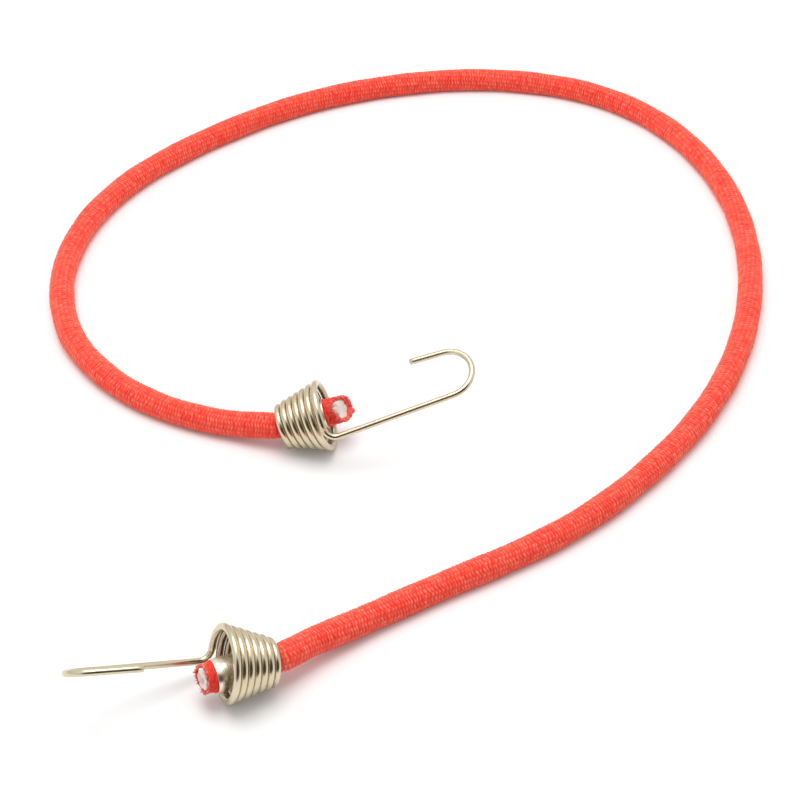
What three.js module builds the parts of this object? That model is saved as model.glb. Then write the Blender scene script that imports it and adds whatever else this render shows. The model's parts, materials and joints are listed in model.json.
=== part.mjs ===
// Elastic bungee cord lying on a table: a braided sheath over a rubber core, a crimped metal
// ferrule near each cut end, and at each end a wire hook. The hook's wire is wound into a cone
// of close turns, which is threaded on the cord and which the ferrule can't pass.
// Millimetres, +Z up. The cord lies on z = 0 and its loop is centred on the Z axis.

import * as THREE from 'three';

// Cord
const CORD_DIAMETER = 4.0;
const CORD_FLAT = 0.4; // depth of the flat that the slack cord lies on
const CORD_SIDES = 10;
const CORD_STEP = 8.0; // length of one straight facet along the cord
const SHEATH_WALL = 0.55;
const CORE_CLEARANCE = 0.4; // between the sheath's bore and the core
const PIECE_GAP = 0.3; // between two lengths of the same cord

// Cut ends of the cord, measured along the cord
const CRIMP_DEPTH = 0.35; // how far the ferrule squeezes the cord's radius in
const TIP_LENGTH = 2.3; // cord that stands out of the ferrule
const TIP_FLARE = 0.15; // growth of the cord's radius at the cut
const CORE_PROUD = 0.4; // rubber that stands out of the cut sheath
const TIP_LEAD = 0.2; // straight cord behind the coil

// Ferrules
const FERRULE_LENGTH = 5.5;
const FERRULE_WALL = 0.35;
const FERRULE_CLEARANCE = 0.3; // between the squeezed cord and the ferrule's bore
const FERRULE_FLARE = 0.15; // growth of the radius towards the cut end
const FERRULE_REACH = 0.35; // how far the ferrule stands out of the coil's mouth
const ROUND_SIDES = 16;

// Wire hooks
const WIRE_DIAMETER = 0.9;
const WIRE_SIDES = 6;
const COIL_TURNS = 6.7;
const COIL_STEPS = 20; // facets in one turn
const COIL_PITCH = 1.04; // along the coil's axis
const COIL_START_RADIUS = 2.87; // of the wire's middle, where the cord goes in
const COIL_END_RADIUS = 5.16; // of the wire's middle, at the mouth
const TURN_GAP = 0.46; // between neighbouring turns
const EXIT_BEND_RADIUS = 1.8;
const EXIT_BEND_STEPS = 6;
const HOOK_BEND_STEPS = 11;

// How each end lies: where the coil's narrow end stands, which way its axis points, how far the
// hook is rolled about that axis, and how the cord leans inside the loose coil, in degrees.
// Then how its hook is bent, which differs a little from one hook to the other: the shank's lean
// is towards the coil's axis and its sway along the last turn, and the bend's roll is about the
// shank, from straight outwards.
const END_A = {
  coilBack: [-19.0, -20.95],
  azimuth: 0.9,
  tilt: 17.6,
  roll: 163.2,
  cordTurn: 4.5,
  cordDrop: 2.5,
  shankLength: 18.1,
  shankLean: 6.2,
  shankSway: -3.6,
  bendRadius: 3.86,
  bendAngle: 175.0,
  bendRoll: 216.0,
  tipLength: 5.1,
};
const END_B = {
  coilBack: [-18.5, -70.35],
  azimuth: 197.0,
  tilt: 14.0,
  roll: 198.9,
  cordTurn: 7.0,
  cordDrop: 10.5,
  shankLength: 17.2,
  shankLean: 10.6,
  shankSway: -2.7,
  bendRadius: 3.54,
  bendAngle: 163.0,
  bendRoll: 205.0,
  tipLength: 6.0,
};
const CORD_RISE = 0.3; // of the cord above the coil's axis, where it goes in

// Loop of the cord from end A to end B: x, y and lift above where the slack cord lies. The loop
// and the ends' places are drawn at the width and length given here, and spread with them.
const LOOP_WIDTH = 114.0;
const LOOP_LENGTH = 145.6;
const ROUTE = [
  [-22.4, -20.4, 1.35],
  [-26.0, -19.4, 0.75],
  [-30.0, -18.1, 0.3],
  [-38.0, -14.5, 0.03],
  [-46.0, -8.4, 0.01],
  [-53.6, 2.5, 0.0],
  [-57.0, 17.9, 0.0],
  [-54.8, 33.3, 0.0],
  [-48.7, 45.7, 0.0],
  [-40.4, 55.4, 0.0],
  [-31.2, 63.4, 0.0],
  [-21.3, 70.2, 0.0],
  [-10.7, 75.2, 0.0],
  [0.2, 78.3, 0.0],
  [11.3, 79.7, 0.0],
  [22.4, 78.8, 0.0],
  [33.2, 75.3, 0.0],
  [42.9, 68.1, 0.0],
  [50.7, 56.9, 0.0],
  [55.6, 42.3, 0.0],
  [57.0, 25.8, 0.0],
  [55.1, 9.4, 0.0],
  [50.6, -5.2, 0.0],
  [44.4, -17.5, 0.0],
  [37.2, -27.6, 0.0],
  [29.7, -36.0, 0.0],
  [21.9, -42.8, 0.0],
  [13.9, -48.2, 0.01],
  [5.9, -52.9, 0.02],
  [-2.0, -57.8, 0.15],
  [-8.5, -62.3, 0.7],
  [-13.3, -65.9, 1.5],
];
const RUN_A_FROM = 6; // the route's point where the stretching run to end A begins
const RUN_B_FROM = 25; // and the one for end B
const LEAD_IN = 0.5; // straight cord outside each coil

const cordRadius = CORD_DIAMETER / 2;
const boreRadius = cordRadius - SHEATH_WALL;
const coreRadius = boreRadius - CORE_CLEARANCE;
const restHeight = cordRadius - CORD_FLAT;
const loopSpread = [0, 1].map((side) => {
  const places = ROUTE.map((point) => point[side]);
  return [LOOP_WIDTH, LOOP_LENGTH][side] / (Math.max(...places) - Math.min(...places));
});
const coilLength = COIL_TURNS * COIL_PITCH;
const turnSpacing = Math.hypot(COIL_PITCH, (COIL_END_RADIUS - COIL_START_RADIUS) / COIL_TURNS);
const coilWireRadius = (turnSpacing - TURN_GAP) / 2;
const wireRadius = WIRE_DIAMETER / 2;
const radians = THREE.MathUtils.degToRad;

// Materials

function sheathMaterial() {
  return new THREE.MeshStandardMaterial({ color: 0xd83a30, roughness: 0.8, metalness: 0.0 });
}

function coreMaterial() {
  return new THREE.MeshStandardMaterial({ color: 0xebe4d7, roughness: 0.7, metalness: 0.0 });
}

function wireMaterial() {
  return new THREE.MeshStandardMaterial({ color: 0xbeb496, roughness: 0.25, metalness: 1.0 });
}

function ferruleMaterial() {
  return new THREE.MeshStandardMaterial({ color: 0xc8bd92, roughness: 0.3, metalness: 1.0 });
}

function namedMesh(name, geometry, material) {
  const mesh = new THREE.Mesh(geometry, material);
  mesh.name = name;
  return mesh;
}

// Wire hook, in its own frame: X is the coil's axis out of the mouth, the wire leaves the last
// turn at X = 0 on the Y axis, running along Z.

function coilPoint(turn) {
  const radius = THREE.MathUtils.lerp(COIL_START_RADIUS, COIL_END_RADIUS, turn / COIL_TURNS);
  const angle = 2 * Math.PI * (turn - COIL_TURNS);
  const x = COIL_PITCH * (turn - COIL_TURNS);
  return new THREE.Vector3(x, radius * Math.cos(angle), radius * Math.sin(angle));
}

function coilTangent(turn) {
  const step = 1e-4;
  return coilPoint(turn + step).sub(coilPoint(turn - step)).normalize();
}

function arcPoint(start, along, inward, radius, angle) {
  return start.clone()
    .addScaledVector(along, radius * Math.sin(angle))
    .addScaledVector(inward, radius * (1 - Math.cos(angle)));
}

// Points of the wire's middle with its radius at each, from the narrow end to the hook's tip,
// and the direction across the hook's plane.
function hookWire(end) {
  const wire = [];
  const add = (point, radius) => wire.push({ point, radius });

  const leadIn = coilTangent(0).multiplyScalar(-2 * coilWireRadius);
  add(coilPoint(0).add(leadIn), coilWireRadius);
  const facets = Math.round(COIL_TURNS * COIL_STEPS);
  for (let i = 0; i <= facets; i += 1) {
    add(coilPoint((COIL_TURNS * i) / facets), coilWireRadius);
  }

  const exit = coilPoint(COIL_TURNS);
  const exitAlong = coilTangent(COIL_TURNS);
  const lean = radians(end.shankLean);
  const sway = radians(end.shankSway);
  const shank = new THREE.Vector3(1, -Math.tan(lean), Math.tan(sway)).normalize();
  const exitAngle = exitAlong.angleTo(shank);
  const exitInward = shank.clone().addScaledVector(exitAlong, -shank.dot(exitAlong)).normalize();
  for (let i = 1; i <= EXIT_BEND_STEPS; i += 1) {
    const share = i / EXIT_BEND_STEPS;
    const point = arcPoint(exit, exitAlong, exitInward, EXIT_BEND_RADIUS, exitAngle * share);
    add(point, THREE.MathUtils.lerp(coilWireRadius, wireRadius, share));
  }

  const bendStart = wire.at(-1).point.clone().addScaledVector(shank, end.shankLength);
  const outwards = new THREE.Vector3(0, 1, 0).addScaledVector(shank, -shank.y).normalize();
  const opening = outwards.clone().applyAxisAngle(shank, radians(end.bendRoll));
  for (let i = 0; i <= HOOK_BEND_STEPS; i += 1) {
    const angle = radians(end.bendAngle) * (i / HOOK_BEND_STEPS);
    add(arcPoint(bendStart, shank, opening, end.bendRadius, angle), wireRadius);
  }

  const tipAlong = shank.clone().multiplyScalar(Math.cos(radians(end.bendAngle)));
  tipAlong.addScaledVector(opening, Math.sin(radians(end.bendAngle)));
  add(wire.at(-1).point.clone().addScaledVector(tipAlong, end.tipLength), wireRadius);

  const across = new THREE.Vector3().crossVectors(shank, opening);
  return { wire, across };
}

// Least clear distance between two stretches of the wire that are half a turn or more apart.
function leastGap(wire) {
  const along = [0];
  for (let i = 1; i < wire.length; i += 1) {
    along.push(along[i - 1] + wire[i].point.distanceTo(wire[i - 1].point));
  }
  let least = Infinity;
  for (let i = 0; i < wire.length; i += 1) {
    for (let j = i + 1; j < wire.length; j += 1) {
      if (along[j] - along[i] >= Math.PI * COIL_START_RADIUS) {
        const clear = wire[i].point.distanceTo(wire[j].point) - wire[i].radius - wire[j].radius;
        least = Math.min(least, clear);
      }
    }
  }
  return least;
}

// Closed tube round the wire's points. A flat of its section faces the inside of the hook.
function wireGeometry({ wire, across }) {
  const count = wire.length;
  const tangents = wire.map((_, i) => {
    const before = wire[Math.max(i - 1, 0)].point;
    const after = wire[Math.min(i + 1, count - 1)].point;
    return after.clone().sub(before).normalize();
  });
  const sides = new Array(count);
  sides[count - 1] = across.clone();
  for (let i = count - 2; i >= 0; i -= 1) {
    const turn = new THREE.Quaternion().setFromUnitVectors(tangents[i + 1], tangents[i]);
    sides[i] = sides[i + 1].clone().applyQuaternion(turn);
    sides[i].addScaledVector(tangents[i], -sides[i].dot(tangents[i])).normalize();
  }

  const positions = [];
  wire.forEach(({ point, radius }, i) => {
    const up = new THREE.Vector3().crossVectors(tangents[i], sides[i]);
    for (let k = 0; k < WIRE_SIDES; k += 1) {
      const angle = (2 * Math.PI * k) / WIRE_SIDES;
      const corner = point.clone()
        .addScaledVector(sides[i], radius * Math.cos(angle))
        .addScaledVector(up, radius * Math.sin(angle));
      positions.push(corner.x, corner.y, corner.z);
    }
  });

  const indices = [];
  for (let i = 0; i + 1 < count; i += 1) {
    for (let k = 0; k < WIRE_SIDES; k += 1) {
      const next = (k + 1) % WIRE_SIDES;
      const a = i * WIRE_SIDES + k;
      const b = i * WIRE_SIDES + next;
      const c = a + WIRE_SIDES;
      const d = b + WIRE_SIDES;
      indices.push(a, b, d, a, d, c);
    }
  }
  const last = (count - 1) * WIRE_SIDES;
  for (let k = 1; k + 1 < WIRE_SIDES; k += 1) {
    indices.push(0, k + 1, k);
    indices.push(last, last + k, last + k + 1);
  }

  const geometry = new THREE.BufferGeometry();
  geometry.setAttribute('position', new THREE.Float32BufferAttribute(positions, 3));
  geometry.setIndex(indices);
  geometry.computeVertexNormals();
  return geometry;
}

// Where an end lies: the hook's turned frame stands so high that its wire just clears the table,
// and the cord runs through the middle of the coil's first turn.

function direction(azimuth, tilt) {
  const level = Math.cos(radians(tilt));
  return new THREE.Vector3(
    level * Math.cos(radians(azimuth)),
    level * Math.sin(radians(azimuth)),
    Math.sin(radians(tilt)),
  );
}

function endFrame(end, wire) {
  const axis = direction(end.azimuth, end.tilt);
  const right = new THREE.Vector3(0, 0, 1).cross(axis).normalize();
  const rise = new THREE.Vector3().crossVectors(axis, right);
  const roll = radians(end.roll);
  const outwards = right.clone().multiplyScalar(Math.cos(roll)).addScaledVector(rise, Math.sin(roll));
  const sideways = new THREE.Vector3().crossVectors(axis, outwards);
  const turned = new THREE.Matrix4().makeBasis(axis, outwards, sideways);

  const lowest = Math.min(...wire.map(({ point }) => point.clone().applyMatrix4(turned).z));
  const [x, y] = end.coilBack.map((place, side) => place * loopSpread[side]);
  const mouth = new THREE.Vector3(x, y, 0).addScaledVector(axis, coilLength);
  mouth.z = wireRadius - lowest;

  const cordAxis = direction(end.azimuth + end.cordTurn, end.tilt - end.cordDrop);
  const firstTurn = mouth.clone().addScaledVector(axis, COIL_PITCH / 2 - coilLength);
  firstTurn.z += CORD_RISE;
  const entry = firstTurn.clone().addScaledVector(cordAxis, -COIL_PITCH / 2 - wireRadius - TIP_LEAD);
  return { turned, mouth, cordAxis, entry };
}

function hook(name, frame, shape) {
  const mesh = namedMesh(name, wireGeometry(shape), wireMaterial());
  mesh.quaternion.setFromRotationMatrix(frame.turned);
  mesh.position.copy(frame.mouth);
  return mesh;
}

// Straight round pieces at a cut end, turned about the cord's axis from its entry to the coil.

const ferruleFront = TIP_LEAD + wireRadius + coilLength + FERRULE_REACH;
const ferruleBack = ferruleFront - FERRULE_LENGTH;
const squeezedRadius = cordRadius - CRIMP_DEPTH;
const tipEnd = ferruleFront + TIP_LENGTH;

function revolved(profile, name, frame, material) {
  const points = profile.map(([radius, along]) => new THREE.Vector2(radius, along));
  const mesh = namedMesh(name, new THREE.LatheGeometry(points, ROUND_SIDES), material);
  mesh.quaternion.setFromUnitVectors(new THREE.Vector3(0, 1, 0), frame.cordAxis);
  mesh.position.copy(frame.entry);
  return mesh;
}

function ferrule(name, frame) {
  const backBore = squeezedRadius + FERRULE_CLEARANCE;
  const frontBore = backBore + FERRULE_FLARE;
  const profile = [
    [backBore, ferruleBack],
    [backBore + FERRULE_WALL, ferruleBack],
    [frontBore + FERRULE_WALL, ferruleFront],
    [frontBore, ferruleFront],
    [backBore, ferruleBack],
  ];
  return revolved(profile, name, frame, ferruleMaterial());
}

// Outer radius of the cord along a cut end: full, squeezed by the ferrule, swollen at the cut.
function tipOutline(inset) {
  const squeeze = CRIMP_DEPTH + FERRULE_CLEARANCE;
  return [
    [cordRadius - inset, PIECE_GAP / 2],
    [cordRadius - inset, ferruleBack - squeeze],
    [squeezedRadius - inset, ferruleBack],
    [squeezedRadius - inset, ferruleFront],
    [cordRadius + TIP_FLARE - inset, ferruleFront + squeeze + TIP_FLARE],
    [cordRadius + TIP_FLARE - inset, tipEnd],
  ];
}

function sheathTip(name, frame) {
  const outer = tipOutline(0);
  const inner = tipOutline(SHEATH_WALL).reverse();
  return revolved([...outer, ...inner, outer[0]], name, frame, sheathMaterial());
}

function coreTip(name, frame) {
  const outline = tipOutline(SHEATH_WALL + CORE_CLEARANCE);
  const [endRadius] = outline.at(-1);
  const end = tipEnd + CORE_PROUD;
  const profile = [[0, PIECE_GAP / 2], ...outline, [endRadius, end], [0, end]];
  return revolved(profile, name, frame, coreMaterial());
}

// Lengths of the lying cord

class RoutePiece extends THREE.Curve {
  constructor(route, from, to) {
    super();
    this.route = route;
    this.from = from;
    this.to = to;
  }

  getPoint(t, target = new THREE.Vector3()) {
    return this.route.getPointAt(THREE.MathUtils.lerp(this.from, this.to, t), target);
  }
}

function cordSection(radius) {
  const flatAngle = Math.acos(restHeight / cordRadius);
  const points = [];
  for (let i = 0; i < CORD_SIDES; i += 1) {
    const share = i / (CORD_SIDES - 1);
    const angle = THREE.MathUtils.lerp(flatAngle, 2 * Math.PI - flatAngle, share);
    points.push(new THREE.Vector2(radius * Math.cos(angle), radius * Math.sin(angle)));
  }
  return points;
}

function sheathShape() {
  const shape = new THREE.Shape(cordSection(cordRadius));
  shape.holes.push(new THREE.Path(cordSection(boreRadius)));
  return shape;
}

function coreShape() {
  return new THREE.Shape(cordSection(coreRadius));
}

function cordRoute(frameA, frameB) {
  const [widen, lengthen] = loopSpread;
  const points = ROUTE.map(([x, y, lift]) => (
    new THREE.Vector3(x * widen, y * lengthen, restHeight + lift)
  ));
  const leadA = frameA.entry.clone().addScaledVector(frameA.cordAxis, -LEAD_IN);
  const leadB = frameB.entry.clone().addScaledVector(frameB.cordAxis, -LEAD_IN);
  return new THREE.CatmullRomCurve3([frameA.entry, leadA, ...points, leadB, frameB.entry]);
}

// Share of the route's length at which it passes one of its listed points.
function shareAt(route, index) {
  const lengths = route.getLengths(2000);
  const t = (index + 2) / (route.points.length - 1);
  const place = t * 2000;
  const before = Math.floor(place);
  const length = THREE.MathUtils.lerp(
    lengths[before],
    lengths[Math.min(before + 1, 2000)],
    place - before,
  );
  return length / lengths.at(-1);
}

function cordLength(name, route, from, to, shape, material) {
  const length = Math.abs(to - from) * route.getLength();
  const steps = Math.max(2, Math.round(length / CORD_STEP));
  const extrudePath = new RoutePiece(route, from, to);
  const geometry = new THREE.ExtrudeGeometry(shape, { steps, extrudePath, bevelEnabled: false });
  return namedMesh(name, geometry, material);
}

// The whole bungee cord

const hookA = hookWire(END_A);
const hookB = hookWire(END_B);
const frameA = endFrame(END_A, hookA.wire);
const frameB = endFrame(END_B, hookB.wire);
const route = cordRoute(frameA, frameB);
route.arcLengthDivisions = 2000;

const halfGap = PIECE_GAP / 2 / route.getLength();
const shareA = shareAt(route, RUN_A_FROM);
const shareB = shareAt(route, RUN_B_FROM);

const bungeeCord = new THREE.Group();
bungeeCord.add(
  cordLength('sheath_middle', route, shareA + halfGap, shareB - halfGap, sheathShape(), sheathMaterial()),
  cordLength('core_middle', route, shareA + halfGap, shareB - halfGap, coreShape(), coreMaterial()),
  cordLength('sheath_run_a', route, shareA - halfGap, halfGap, sheathShape(), sheathMaterial()),
  cordLength('core_run_a', route, shareA - halfGap, halfGap, coreShape(), coreMaterial()),
  cordLength('sheath_run_b', route, shareB + halfGap, 1 - halfGap, sheathShape(), sheathMaterial()),
  cordLength('core_run_b', route, shareB + halfGap, 1 - halfGap, coreShape(), coreMaterial()),
  sheathTip('sheath_tip_a', frameA),
  coreTip('core_tip_a', frameA),
  ferrule('ferrule_a', frameA),
  hook('hook_a', frameA, hookA),
  sheathTip('sheath_tip_b', frameB),
  coreTip('core_tip_b', frameB),
  ferrule('ferrule_b', frameB),
  hook('hook_b', frameB, hookB),
);

const turnsGap = Math.min(leastGap(hookA.wire), leastGap(hookB.wire));
console.log(`Least gap between the turns of a hook: ${turnsGap.toFixed(2)} mm`);
console.log(`Cord between the two coils: ${route.getLength().toFixed(0)} mm`);

export default bungeeCord;
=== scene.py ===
# Red bungee cord dressed for rendering: a braided sheath with frayed cut ends, rubber threads,
# crimped ferrules and wound wire hooks, laid on a white studio floor.
# Metres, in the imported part's own frame.

import json
import math

import bpy
import numpy as np
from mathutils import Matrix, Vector


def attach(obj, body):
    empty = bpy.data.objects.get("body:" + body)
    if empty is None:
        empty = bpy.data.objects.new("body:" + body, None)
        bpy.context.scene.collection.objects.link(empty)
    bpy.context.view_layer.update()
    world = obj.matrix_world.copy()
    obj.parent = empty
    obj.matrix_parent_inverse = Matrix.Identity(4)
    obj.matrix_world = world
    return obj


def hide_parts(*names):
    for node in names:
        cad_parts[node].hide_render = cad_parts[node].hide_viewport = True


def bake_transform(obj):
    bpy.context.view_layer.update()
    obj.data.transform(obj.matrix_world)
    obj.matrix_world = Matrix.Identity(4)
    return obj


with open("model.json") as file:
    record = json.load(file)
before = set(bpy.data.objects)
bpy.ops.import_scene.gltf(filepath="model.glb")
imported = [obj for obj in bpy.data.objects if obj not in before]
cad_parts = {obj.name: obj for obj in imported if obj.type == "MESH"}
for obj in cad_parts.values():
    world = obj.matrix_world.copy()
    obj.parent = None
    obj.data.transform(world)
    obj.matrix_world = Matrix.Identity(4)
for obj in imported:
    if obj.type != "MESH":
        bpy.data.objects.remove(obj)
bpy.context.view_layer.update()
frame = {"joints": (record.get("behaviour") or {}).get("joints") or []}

MM = 0.001
FULL_TURN = 2 * math.pi
UP = np.array([0.0, 0.0, 1.0])
HASH_STEPS = (12.9898, 78.233)  # these mix a pair of numbers into a chance one
HASH_SCALE = 43758.5453

# Cord
CORD_RADIUS = 2.0 * MM
CORD_FLAT = 0.4 * MM  # depth of the flat that the slack cord lies on
BEND_IN = 3.2 * MM  # how far inside each coil the cord is straight again
LUMP = 0.03 * MM  # slow unevenness of the cord's thickness
LUMP_LENGTH = 11.0 * MM
LUMP_DRIFT = 1.7  # radians by which that unevenness comes early or late
LUMP_DRIFT_LENGTH = 3 * LUMP_LENGTH
FLOOR_BLUR = 0.1 * MM  # how softly the underside flattens on the floor
SQUEEZE = 0.2 * MM  # by which the coil's first turn narrows the cord
GRIP_PLACE = 0.9 * MM  # from the cord's entry to that turn
GRIP_REACH = 2.4 * MM  # from there to where the cord has its full width
CORD_SIDES = 32

# Braid of the sheath: columns of short stitches across the cord, leaning left and right in turn
BRAID_COLUMNS = 16
BRAID_PITCH = 0.52 * MM  # from one stitch to the next in a column
BRAID_RELIEF = 0.2 * MM
BRAID_LEVEL = 0.5  # share of the relief that lies inside the cord's radius
BRAID_TWIST_LENGTH = 260.0 * MM  # in which the columns go once round the cord
RINGS_PER_STITCH = 6
STITCH_SLANT = 0.5  # of the pitch, over one column
STITCH_CROWN = 0.4  # share of the relief that a stitch loses where it dives under
STITCH_SHADE = 0.42  # share of its brightness that a stitch loses where it dives under, as painted shade
STITCH_SPREAD = 0.35  # share of the relief by which stitches differ in height
STITCH_STRAY = 0.3  # of the pitch, by which a column's stitches wander along the cord
STRAY_LENGTH = 2.3 * BRAID_PITCH  # of cord, for one radian of that wandering
STRAY_START = 40.0  # radians among which the columns' wandering starts
STITCH_JITTER = 0.32  # of the pitch, by which one stitch stands out of its row
GROOVE_DEPTH = (0.6, 0.4)  # share of the relief between two stitches, and what an open gap adds
GROOVE_SHADE = (0.7, 0.3)  # the same for the painted shade that darkens the grooves
COLUMN_NUDGE = 1e-6  # keeps a point on a column's edge in that column
STRAY_KEY = 3.0  # these three keep a stitch's several chance numbers apart
JITTER_KEY = 0.25
GAP_KEY = 0.5

# Cut ends of the cord, measured along the cord from where it enters the coil
TIP_LEAD = 0.2 * MM  # to the coil's first wire
CORD_RISE = 0.3 * MM  # of the cord above the coil's axis, where it goes in
TIP_SIDES = 96
TIP_RINGS = 28  # from the ferrule to the cut
TIP_SWELL = 0.03 * MM  # by which the cord thickens beyond the ferrule
SWELL_LENGTH = 0.8 * MM  # in which it does
TIP_PAINTED_SHADE = 0.45  # share of its paleness that the yarn keeps at the cut ends: painted shade, as the tips lie in their coils' shade
SHEATH_WALL = 0.5 * MM
INNER_RINGS = 10  # from the cut back inside the sheath
INNER_END = 0.15  # share of the way from the ferrule to the cut at which the inside ends
RAGGED = 0.15 * MM  # unevenness of the cut edge
RAGGED_WAVES = (2, 3, 5, 8, 13, 21)  # round that edge
OUTER_SINGE = 0.8  # how much of the singe shows at the cut's outer edge
INNER_SINGE = 0.4  # and how much of it goes down inside the sheath
SINGE_SPAN = (-0.3, 1.0)  # of the radius, towards the short side, between the singe's two lengths

# Loose yarn ends round the cuts
FRAY_COUNT = 70
FRAY_SIDES = 5
FRAY_STEPS = 6
FRAY_LENGTH = (0.12 * MM, 0.48 * MM)
FRAY_RADIUS = 0.09 * MM
FRAY_TAPER = 0.6  # share of its radius that a yarn end loses
FRAY_ROOT = 0.15 * MM  # depth below the cut
FRAY_WALL = (0.2, 0.9)  # share of the sheath's wall, from outside, at which one starts
FRAY_SPLAY = (0.25, 0.45)  # mean and spread of its lean outwards
FRAY_SCATTER = 0.35  # spread of its lean any way
FRAY_CURL = 0.45  # of its length
FRAY_SHADE = (0.45, 0.5)  # of the darkest one, and what the palest has more

# Rubber threads of the core
THREAD_RADIUS = 0.68 * MM
THREAD_SPACING = 0.86 * MM  # between the middles of neighbouring threads
THREADS_ROUND = 6  # threads round the middle one
THREADS_TURN = 0.4  # radians by which these are turned about it
THREAD_SIDES = 16
THREAD_PROUD = (0.0, 0.06 * MM)  # least and most that one stands out of the cut
THREAD_CLEAN = 0.45 * MM  # depth below the cut past which a thread is stained all round
THREAD_PROFILE = [  # depth below the cut and share of the radius
    (2.6 * MM, 1.0),
    (0.5 * MM, 1.0),
    (0.4 * MM, 1.0),
    (0.04 * MM, 1.0),
    (0.01 * MM, 0.97),
    (0.0, 0.9),
    (-0.005 * MM, 0.4),
]
STAIN = 0.75  # strength of the dye on the threads
STAIN_FROM = 0.75 * MM  # from the core's middle to its short side, where the stain begins
STAIN_WIDTH = 0.5 * MM  # in which it grows to its full strength

# Ferrules
FERRULE_LENGTH = 5.5 * MM
FERRULE_WALL = 0.2 * MM
FERRULE_BORE = 2.05 * MM  # radius at the back
FERRULE_FLARE = 0.15 * MM  # by which the bore is wider at the front
FERRULE_FIT = 0.01 * MM  # between the bore and the cord at the front
FERRULE_SEAM = 0.22 * MM  # gap where the rolled strip's edges meet
SEAM_CURL = 0.07 * MM  # how far the strip bends in there
SEAM_CURL_WIDTH = 0.5 * MM
FERRULE_OVAL = 0.05 * MM  # by which it is out of round
FERRULE_SIDES = 96
STRIP_STEPS = 8  # along the strip's inside and outside
STRIP_EDGE_ANGLES = (30, 60, 90, 120, 150)  # degrees round the strip's edges

# Wire hooks
WIRE_RADIUS = 0.48 * MM
COIL_WIRE_RADIUS = 0.53 * MM
WIRE_SIDES = 20
COIL_TURNS = 6.7
COIL_STEPS = 56  # in one turn
MEAN_PITCH = 1.04 * MM
COIL_START_RADIUS = 2.87 * MM
COIL_END_RADIUS = 5.16 * MM
COIL_FADE = 0.4  # turns before the coil's end in which its lean and the painted shade on its inside fade
THIN_TURNS = 1.2  # in which the coil's wire grows to its full thickness
TAIL_TURN = 0.08  # of a turn, by which the wire's start reaches on
TAIL_SPLAY = 0.35 * MM  # how far that start stands off
COIL_WOBBLE = 0.02 * MM  # unevenness of the wound turns
WOBBLE_STEP = 2.1  # radians of it in one turn
WOBBLE_FADE = 0.5  # share of the coil, at its end, in which it fades
INNER_FACING = 0.7  # how squarely the wire faces the coil's axis where its painted shade is full
EXIT_BEND_RADIUS = 1.8 * MM
EXIT_BEND_STEPS = 20
SHANK_STEPS = 24
HOOK_BEND_STEPS = 40
HOOK_TIP_STEPS = 8
WIRE_CHAMFER = 0.1 * MM
SIDE_TURN = 0.37  # keeps a swept line's first side clear of the line's own direction

# How each end lies, angles in degrees: the coil's axis, how far the hook is rolled about it and
# how the cord leans in the loose coil. Then how far the ferrule and the cut stand out of the coil's
# mouth, how the cut slants and which way its short side faces. Then how the hook is bent: the
# shank's lean is towards the coil's axis and its sway along the last turn, and the bend's roll is
# about the shank, from straight outwards. Last come the coil's own pitch and the lean of its
# turns, how strong the singe is, how far it reaches on the cut's long and short sides, how smeared
# the core is, how it slants and how deep it lies, and the number that starts the chance draws.
ENDS = {
    "a": {
        "azimuth": 0.9,
        "tilt": 17.6,
        "roll": 163.2,
        "cord_turn": 4.5,
        "cord_drop": 2.5,
        "ferrule_reach": -0.25 * MM,
        "cut_reach": 2.5 * MM,
        "cut_slant": 34.0,
        "cut_faces": (0.0, -0.75, 0.66),
        "shank_length": 18.1 * MM,
        "shank_lean": 6.2,
        "shank_sway": -3.6,
        "bend_radius": 3.86 * MM,
        "bend_angle": 175.0,
        "bend_roll": 216.0,
        "tip_length": 5.1 * MM,
        "coil_pitch": 1.08 * MM,
        "coil_lean": 2.7,
        "singe": 0.75,
        "singe_length": (0.4 * MM, 0.8 * MM),
        "smear": 0.1,
        "core_slant": 24.0,
        "core_sunk": 0.25 * MM,
        "seed": 5,
    },
    "b": {
        "azimuth": 197.0,
        "tilt": 14.0,
        "roll": 198.9,
        "cord_turn": 7.0,
        "cord_drop": 10.5,
        "ferrule_reach": 1.45 * MM,
        "cut_reach": 3.05 * MM,
        "cut_slant": 8.0,
        "cut_faces": (0.0, -0.5, 0.86),
        "shank_length": 17.2 * MM,
        "shank_lean": 10.6,
        "shank_sway": -2.7,
        "bend_radius": 3.54 * MM,
        "bend_angle": 163.0,
        "bend_roll": 205.0,
        "tip_length": 6.0 * MM,
        "coil_pitch": 1.04 * MM,
        "coil_lean": 0.0,
        "singe": 0.85,
        "singe_length": (0.5 * MM, 0.5 * MM),
        "smear": 1.0,
        "core_slant": 8.0,
        "core_sunk": 0.05 * MM,
        "seed": 11,
    },
}

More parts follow.
